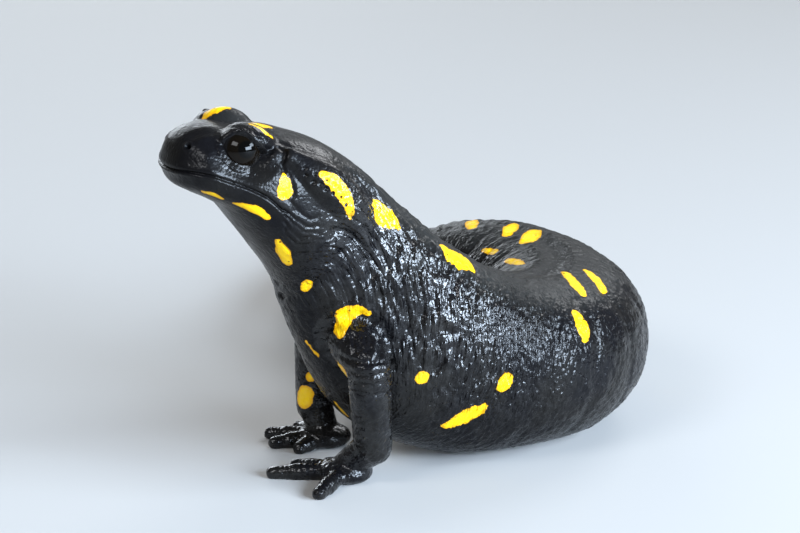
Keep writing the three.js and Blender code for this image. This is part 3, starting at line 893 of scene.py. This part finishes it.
# Each spot is a path of (s, angle, half width). Angle 0 is the left side, 90 the back, 180 the right side
# and -90 the belly.
SPOTS = [
    # the left of the head and neck
    [(7.2, 69, 0.24), (8.4, 66, 0.36), (9.2, 61, 0.4), (10.1, 62, 0.3)],
    [(4.2, -37, 0.5), (5, -33, 0.78), (6.1, -35, 0.5)],
    [(7.9, -33, 0.4), (9, -27, 0.8), (10.4, -20, 1.12), (11.4, -21, 0.75)],
    [(11.8, 22, 0.15), (12.2, 15, 0.75), (12.5, 9, 1)],
    [(16, 27, 0.6), (17.2, 25, 1.15), (18.6, 21, 1.1), (19.9, 16, 0.75), (20.7, 11, 0.5), (21.2, 7, 0.15)],
    [(26.6, 43, 1.2), (25, 39, 1.45), (25.2, 29, 1.2), (26.9, 37, 1.1)],
    [(14.8, -41, 0.55), (16.1, -46, 1.15), (17.2, -51, 0.9)],
    [(22.7, -50, 1.25)],
    [(31.8, -73, 0.35), (33.6, -69, 0.4)],
    [(40, -79, 0.4), (41.6, -80, 0.55)],
    # the left of the trunk
    [(34.9, 62, 0.75), (35.6, 54, 1), (37.4, 60, 1.9), (38.6, 66, 1.6), (39.4, 60, 1)],
    [(42.3, -21, 0.72)],
    [(49.8, -5, 0.7), (49.8, -8, 0.62)],
    [(47.6, -40, 0.45), (48.2, -32, 0.8), (48.8, -25, 0.8), (49.2, -21, 0.4)],
    [(57.7, 43, 0.5), (57.8, 34, 0.85), (57.9, 27, 0.85), (57.9, 22, 0.5)],
    [(64.9, 81, 0.5), (63.2, 75, 0.75), (61.8, 66, 0.9), (61, 57, 0.55)],
    [(68, 72, 0.5), (66.6, 64, 0.8), (65.1, 54, 0.55)],
    # over the back, where the body turns in
    [(77, 120, 0.5), (74.2, 115, 0.8), (70.8, 109, 0.5)],
    [(86.6, 128, 0.5), (83.4, 124, 0.7)],
    [(93.4, 104, 0.75), (95.6, 85, 0.75)],
    [(86.8, 102, 0.8), (89.4, 88, 0.9)],
    [(82.3, 99, 1), (85.4, 87, 1)],
    # the right of the head and neck
    [(5, 111, 0.6), (6.1, 107, 0.8), (7.2, 105, 0.5)],
    [(8.7, 91, 0.28), (10.1, 90, 0.45), (11.5, 88, 0.3)],
    [(9.9, 177, 0.5), (11.2, 170, 0.95), (12.4, 176, 0.7)],
    [(4.4, 212, 0.5), (6, 217, 0.8), (7.8, 213, 0.6)],
    [(14.4, 154, 0.45), (15.8, 151, 1.05), (17.6, 155, 1.25), (19.2, 160, 0.85), (20.3, 167, 0.4)],
    [(14.5, 222, 0.6), (16, 230, 0.9), (17.4, 226, 0.6)],
    [(22.6, 133, 0.8), (24.2, 138, 1.3), (25.6, 143, 0.8)],
    [(27.2, 168, 0.8), (28.6, 161, 0.95)],
    [(30.6, 119, 0.8), (32.3, 116, 1.4), (34, 121, 0.9)],
    # the right of the trunk
    [(39.2, 128, 0.7), (41, 123, 1.25), (42.8, 125, 0.7)],
    [(44.6, 171, 0.95), (46.1, 166, 0.75)],
    [(48.4, 205, 0.8), (50.4, 211, 0.7)],
    [(52.5, 158, 0.8), (54.2, 151, 1.15), (55.4, 154, 0.7)],
    [(62.2, 148, 0.9), (63.6, 154, 1.1), (64.8, 152, 0.6)],
    [(76.5, 170, 0.8), (78, 164, 0.9)],
    [(47.5, -104, 0.6), (48.6, -98, 0.7)],
    # the trunk's far end and the tail
    [(79, 33, 0.8), (80.8, 27, 1.25), (82.4, 29, 0.8)],
    [(74.8, 0, 0.8), (76.6, -7, 1.15), (78, -4, 0.7)],
    [(86, 44, 0.9), (88.2, 39, 1.3), (90.2, 44, 0.8)],
    [(83.5, -24, 0.9), (85.5, -28, 0.8)],
    [(98.4, 33, 0.8), (100.4, 38, 1.15), (102, 35, 0.7)],
    [(103.6, 142, 0.8), (105.4, 138, 1)],
    [(108, 176, 0.7), (110, 181, 0.8)],
    [(112.2, 4, 0.7), (114, -2, 0.8)],
    [(136, 3, 0.55), (138, 0, 0.6)],
]
# Two uneven rows of spots run down the tail, one on either side of its ridge.
SPOTS += [[(s, angle, wide * 0.8), (s + long, angle + turn, wide)] for s, angle, long, turn, wide in (
    (107, 62, 2.6, -4, 1), (111.5, 119, 2.4, 4, 0.95), (116.5, 63, 3, 5, 0.9), (122, 119, 2.8, -4, 0.85),
    (127.5, 61, 2.6, 4, 0.8), (133, 120, 3, 3, 0.75), (140, 63, 2.6, -3, 0.65), (147, 118, 3.4, 3, 0.55),
    (155, 63, 3, 3, 0.5), (163, 117, 3, 2, 0.42), (171, 70, 2.4, 3, 0.36))]
# On the legs a spot is a path of (ahead, left, height, half width) from where the leg's own root is.
LEG_SPOTS = [
    (FORE_ROOT, [(8.5, 8.7, 19.8, 0.7), (8.3, 7.9, 20.9, 1.25), (7.7, 7.8, 21.6, 1.15),
                 (6.9, 8, 22.1, 0.95), (6, 8.3, 22.3, 0.75), (5.2, 8.4, 22.1, 0.52),
                 (4.7, 8.6, 21.8, 0.3)]),
    (FORE_ROOT, [(8.8, 8.2, 15.9, 0.5), (8.6, 10.6, 15.1, 0.5)]),
    (FORE_ROOT, [(7.1, -8.7, 6.3, 1.3), (7, -8.5, 6.9, 1.2)]),
    (FORE_ROOT, [(6.2, -8.4, 9.2, 0.7)]),
    (FORE_ROOT, [(3.4, -13.2, 19, 0.9), (4.6, -13.8, 17.2, 1.2), (5.6, -13.6, 15.8, 0.7)]),
    (HIND_ROOT, [(3, 8.6, 12.6, 1), (4, 11, 12.4, 1.4), (5.4, 13.4, 11.9, 0.8)]),
    (HIND_ROOT, [(1.2, 17.6, 6.4, 0.9), (0.2, 17.6, 5.2, 0.7)]),
    (HIND_ROOT, [(2.6, -9, 12.4, 1.1), (4.4, -12, 12.2, 1.3)]),
    (HIND_ROOT, [(3.2, -16.2, 7.6, 0.9), (1.8, -16.6, 6.4, 0.8)]),
]


def mark_spots():
    """How far inside a spot's edge each point is, in millimetres: below zero is black skin."""
    inside = np.full(len(net.points), -4.0)
    for path in SPOTS:
        inside = np.maximum(inside, -place.path_distance(path))
    inside[(place.leg >= 0) & (place.length >= 1) & (place.from_leg < 0.8)] = -4
    for root, path in LEG_SPOTS:
        joints = from_root(root, [spot[:3] for spot in path])
        radii = [radius for *_, radius in path]
        if len(path) == 1:
            joints.append(joints[0] + (0, 0, 0.01))
            radii *= 2
        close = size(net.points - np.mean(joints, axis=0)) < 8
        away, _ = Limb(joints, radii).distance(net.points[close])
        inside[close] = np.maximum(inside[close], -away)
    return inside + 0.11 * noise(net.points / 1.1, 41) + 0.06 * noise(net.points / 0.4, 42)


# -------- materials


class Nodes:
    """Short ways to add shader nodes to a material."""

    def __init__(self, name):
        self.material = bpy.data.materials.new(name)
        self.material.use_nodes = True
        self.tree = self.material.node_tree
        self.shader = self.tree.nodes["Principled BSDF"]

    def put(self, socket, value):
        if hasattr(value, "is_output"):
            self.tree.links.new(value, socket)
        else:
            socket.default_value = (*value, 1.0) if socket.type == "RGBA" else value

    def set(self, **inputs):
        for name, value in inputs.items():
            self.put(self.shader.inputs[name.replace("_", " ")], value)

    def add(self, kind, inputs=(), output=0, **settings):
        """A node with its settings and its inputs, by number or name, and the output asked for."""
        node = self.tree.nodes.new("ShaderNode" + kind)
        for name, value in settings.items():
            setattr(node, name, value)
        for key, value in inputs:
            self.put(node.inputs[key], value)
        return node.outputs[output]

    def maths(self, operation, *values):
        return self.add("Math", enumerate(values), operation=operation)

    def scaled(self, vector, *by):
        """The vector times one number, or times one for each axis."""
        by = by if len(by) == 3 else by * 3
        return self.add("VectorMath", enumerate((vector, by)), operation="MULTIPLY")

    def noise(self, vector, detail=2.0, roughness=0.5):
        inputs = ("Vector", vector), ("Scale", 1.0), ("Detail", detail), ("Roughness", roughness)
        return self.add("TexNoise", inputs)

    def cells(self, vector):
        return self.add("TexVoronoi", (("Vector", vector), ("Scale", 1.0)), "Distance")

    def step(self, *limits):
        """A value eased from one range, low and high, to another."""
        inputs = enumerate(limits if len(limits) == 5 else (*limits, 0.0, 1.0))
        return self.add("MapRange", inputs, interpolation_type="SMOOTHSTEP")

    def blend(self, share, first, second):
        return self.add("Mix", ((0, share), (6, first), (7, second)), 2, data_type="RGBA")

    def attribute(self, name, output="Fac"):
        return self.add("Attribute", (), output, attribute_name=name)

    def bump(self, height, distance, strength=1.0, *normal):
        inputs = [("Strength", strength), ("Distance", distance), ("Height", height)]
        return self.add("Bump", inputs + [("Normal", below) for below in normal])


def skin_material():
    """Wet black skin, finely wrinkled and pored, greyed along the top by dust and a painted sheen, with warm
    yellow spots whose edges are crisp.
    """
    m = Nodes("salamander_skin")
    spot, dust_and_sheen, satin = m.attribute("spot"), m.attribute("dust_and_sheen"), m.attribute("satin")
    here = m.scaled(m.add("TexCoord", (), "Object"), 1000)
    speckle = m.noise(m.scaled(here, 2.6), 3, 0.6)
    edge = m.maths("ADD", spot, m.maths("MULTIPLY", m.maths("SUBTRACT", speckle, 0.5), 0.3))
    yellow = m.step(edge, -0.03, 0.06)
    pored = m.step(m.cells(m.scaled(here, 0.8)), 0.07, 0.15)
    patches = m.step(m.noise(m.scaled(here, 0.16), 3), 0.35, 0.7)
    black = m.blend(patches, (0.003, 0.003, 0.004), (0.0065, 0.006, 0.0055))
    # The top of the back and of the head is painted a lighter grey: partly dust, partly a painted sheen.
    black = m.blend(m.step(dust_and_sheen, 0.0, 1.0), black, (0.018, 0.018, 0.017))
    clouds = m.noise(m.scaled(here, 0.9), 4, 0.6)
    warm = m.blend(clouds, (0.9, 0.54, 0.003), (0.96, 0.66, 0.009))
    warm = m.blend(m.step(edge, 0.0, 0.55), (0.75, 0.36, 0.003), warm)
    warm = m.blend(pored, (0.12, 0.05, 0.004), warm)
    m.set(Base_Color=m.blend(yellow, black, warm))

    fine = m.step(m.noise(m.scaled(m.attribute("grain", "Vector"), 1.6), 1.5, 0.5), 0.25, 0.75)
    normal = m.bump(m.maths("MULTIPLY", fine, m.attribute("creased")), 0.00016)
    pebbles = m.maths("POWER", m.cells(m.scaled(here, 2.6)), 2.0)
    pebbled = m.maths("MULTIPLY", pebbles, m.maths("MULTIPLY_ADD", satin, 0.45, -1.0))
    normal = m.bump(pebbled, 0.00005, 1.0, normal)
    normal = m.bump(m.noise(m.scaled(here, 5), 2, 0.5), 0.000012, 1.0, normal)
    normal = m.bump(pored, 0.00005, 0.7, normal)
    m.set(Normal=normal, Coat_Normal=normal)

    rough = m.step(m.noise(m.scaled(here, 0.45), 4, 0.6), 0.3, 0.7, 0.2, 0.34)
    for rougher, share in ((dust_and_sheen, 0.16), (satin, 0.1), (yellow, 0.06)):
        rough = m.maths("ADD", rough, m.maths("MULTIPLY", rougher, share))
    wet = m.step(m.noise(m.scaled(here, 0.7), 3, 0.6), 0.3, 0.6, 0.35, 1.0)
    m.set(Roughness=rough, Coat_Weight=m.maths("MULTIPLY", wet, m.attribute("wet")))
    m.set(Specular_IOR_Level=0.1, Coat_Roughness=0.12, Coat_IOR=1.5)
    return m.material


def eye_material():
    """A near black eye, its iris faintly streaked with brown, under a wet cornea."""
    m = Nodes("salamander_eye")
    gaze = m.attribute("gaze")
    streaks = m.noise(m.scaled(m.attribute("streak", "Vector"), 7, 7, 3), 4, 0.7)
    brown = m.blend(streaks, (0.001, 0.0008, 0.0006), (0.006, 0.0038, 0.002))
    colour = m.blend(m.step(gaze, 0.34, 0.44), (0.001, 0.001, 0.001), brown)
    m.set(Base_Color=m.blend(m.step(gaze, 0.86, 0.98), colour, (0.006, 0.006, 0.007)))
    m.set(Roughness=m.step(streaks, 0.3, 0.7, 0.16, 0.26))
    m.set(Normal=m.bump(streaks, 0.00002, 0.4))
    m.set(Specular_IOR_Level=0.0, Coat_Weight=1.0, Coat_Roughness=0.02, Coat_IOR=1.27)
    return m.material


def plain(name, colour, roughness):
    m = Nodes(name)
    m.set(Base_Color=colour, Roughness=roughness)
    return m.material


# -------- the skin as one piece


def make_piece(mesh, name, body, replaced, material):
    piece = add_object(name, mesh)
    mesh.materials.append(material)
    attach(piece, body)
    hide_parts(*replaced)


def keep_value(mesh, name, values):
    kind = "FLOAT_VECTOR" if values.ndim == 2 else "FLOAT"
    kept = mesh.attributes.new(name, kind, "POINT")
    kept.data.foreach_set("vector" if values.ndim == 2 else "value", values.astype(np.float32).ravel())


def surface_values():
    """What the skin's material reads at each point: its marks and grain, how far dust and a painted sheen
    grey it, and how wet it is.
    """
    s, angle, from_eye = place.s, place.angle, eye_distance()
    long = 1 + 1.6 * ramp(s, 17, 27) * (1 - 0.6 * ramp(s, 45, 60))
    grain = stretched(s + 0.5 * noise(net.points / 4, 51), long)
    # Along the top of the back and of the head the skin is greyed by dust and a painted sheen, and is made
    # rougher and less wet.
    dust_and_sheen = ramp(np.abs(angle - 90), 62, 20) * (1 - 0.5 * ramp(s, 100, 120))
    dust_and_sheen *= np.maximum(0.55 * ramp(s, 1.5, 5) * ramp(np.abs(place.left), 5.4, 4.2), ramp(s, 9, 28))
    creased = (0.25 + 0.75 * on_side()) * ramp(s, 15, 26) * (1 - 0.5 * ramp(s, 46, 62)) + 0.1
    creased *= 1 - 0.6 * ramp(-angle, 10, 40) * ramp(s, 30, 38)
    satin = (1 - ramp(s, 12, 22)) * ramp(from_eye, 3.4, 4.4)
    low = ramp(-angle, 15, 60) * ramp(angle, -165, -120) * ramp(s, 4, 30)
    low *= (place.leg < 0) | (place.from_leg > 0.8)
    lids = hump(from_eye, EYE["radius"] + 0.4, 1.2) * ramp(place.up, 7.5, 5.5)
    shining = ramp(s, 16, 21) * ramp(s, 54, 42) * ramp(angle, -18, 0) * ramp(angle, 75, 45) * (place.leg < 0)
    wet = 1 - np.maximum.reduce([dust_and_sheen, 0.5 * satin, 0.75 * low, 0.5 * lids])
    wet *= 0.38 + 0.24 * ramp(s, 17, 24) - 0.34 * ramp(s, 44, 60) + 0.42 * shining
    return dict(
        spot=mark_spots() - 1.6 * pored, grain=grain, dust_and_sheen=dust_and_sheen * (place.length < 1), creased=creased,
        satin=satin, wet=wet,
    )


for name, values in surface_values().items():
    keep_value(net.mesh, name, values)
net.points *= MM
net.write()
net.mesh.shade_smooth()
flesh = [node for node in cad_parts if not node.startswith("eye")]
make_piece(net.mesh, "skin", "root", flesh, skin_material())

GAZE = unit(np.array((0.12, 0.97, 0.16)))  # ahead, out and up
CORNEA = 0.13
eye_look = eye_material()
for side, name in ((1, "left"), (-1, "right")):
    axes = ahead_left_up(EYE["s"]) * np.array([[1], [side], [1]])
    way = GAZE @ axes
    top = unit(np.cross(way, axes[0]))
    ball_axes = (top, np.cross(way, top), way)
    points, faces = ball(np.zeros(3), ball_axes, (1, 1, 1), 96, 64)
    turned = points @ np.array(ball_axes).T
    off_gaze = np.degrees(np.arccos(np.clip(turned[:, 2], -1, 1)))
    points *= (EYE["radius"] + CORNEA * hump(off_gaze, 0, 30))[:, None]
    eye_mesh = mesh_from("eyeball_" + name, (points + eye_centre[side]) * MM, faces)
    keep_value(eye_mesh, "gaze", off_gaze / 60)
    angle = np.arctan2(turned[:, 1], turned[:, 0])
    keep_value(eye_mesh, "streak", np.stack([np.cos(angle), np.sin(angle), off_gaze / 60], 1))
    eye_mesh.shade_smooth()
    make_piece(eye_mesh, "eyeball_" + name, "root", ["eye_" + name], eye_look)

# -------- floor, light and camera

world = bpy.data.worlds.new("studio")
bpy.context.scene.world = world
world.use_nodes = True
backdrop = world.node_tree.nodes["Background"].inputs
backdrop["Color"].default_value = (0.86, 0.87, 0.88, 1)
backdrop["Strength"].default_value = 0.24

FLOOR_REACH = 6  # metres either way
corners = [(x * FLOOR_REACH, y * FLOOR_REACH, 0) for x, y in ((-1, -1), (1, -1), (1, 1), (-1, 1))]
floor_mesh = mesh_from("floor", corners, [(0, 1, 2, 3)])
floor_mesh.materials.append(plain("floor", (0.47, 0.466, 0.455), 0.7))
add_object("floor", floor_mesh)


def point_at(thing, stands, aim):
    thing.location = stands
    thing.rotation_euler = (Vector(aim) - Vector(stands)).to_track_quat("-Z", "Y").to_euler()


# Where each light stands, where it points, its two sides, its watts and its colour.
LIGHTS = {
    "softbox_right": ((0.4, -0.4, 0.2), (0.0, 0.0, 0.03), (0.44, 0.2), 5.8, (0.68, 0.82, 1.0)),
    "softbox_high": ((0.52, -0.13, 0.32), (0.0, 0.0, 0.03), (0.26, 0.18), 1.9, (0.72, 0.85, 1.0)),
    "softbox_left": ((-0.33, -0.36, 0.42), (-0.01, 0.0, 0.02), (0.28, 0.2), 0.8, (0.95, 0.97, 1.0)),
    "softbox_rear": ((0.25, 0.5, 0.4), (-0.01, 0.03, 0.02), (0.3, 0.2), 0.7, (0.95, 0.97, 1.0)),
    "softbox_back": ((-0.2, 0.55, 0.17), (-0.01, 0.02, 0.02), (0.36, 0.08), 0.5, (0.86, 0.93, 1.0)),
}
for name, (stands, aim, sides, watts, colour) in LIGHTS.items():
    lamp = bpy.data.lights.new(name, "AREA")
    lamp.shape = "RECTANGLE"
    lamp.size, lamp.size_y = sides
    lamp.energy = watts
    lamp.color = colour
    lamp.spread = math.radians(130)
    point_at(add_object(name, lamp), stands, aim)

ELEVATION = math.radians(15)
DISTANCE = 0.4
AIM = Vector((-0.01753, 0.0, 0.022))  # the middle of the view
LENS, SENSOR_WIDTH = 140.4, 36  # millimetres
camera = bpy.data.cameras.new("camera")
camera.sensor_width = SENSOR_WIDTH
camera.lens = LENS
camera.clip_start, camera.clip_end = 0.01, 20
viewer = add_object("camera", camera)
point_at(viewer, AIM + Vector((0, -math.cos(ELEVATION), math.sin(ELEVATION))) * DISTANCE, AIM)
bpy.context.scene.camera = viewer
bpy.context.scene.view_settings.view_transform = "Standard"
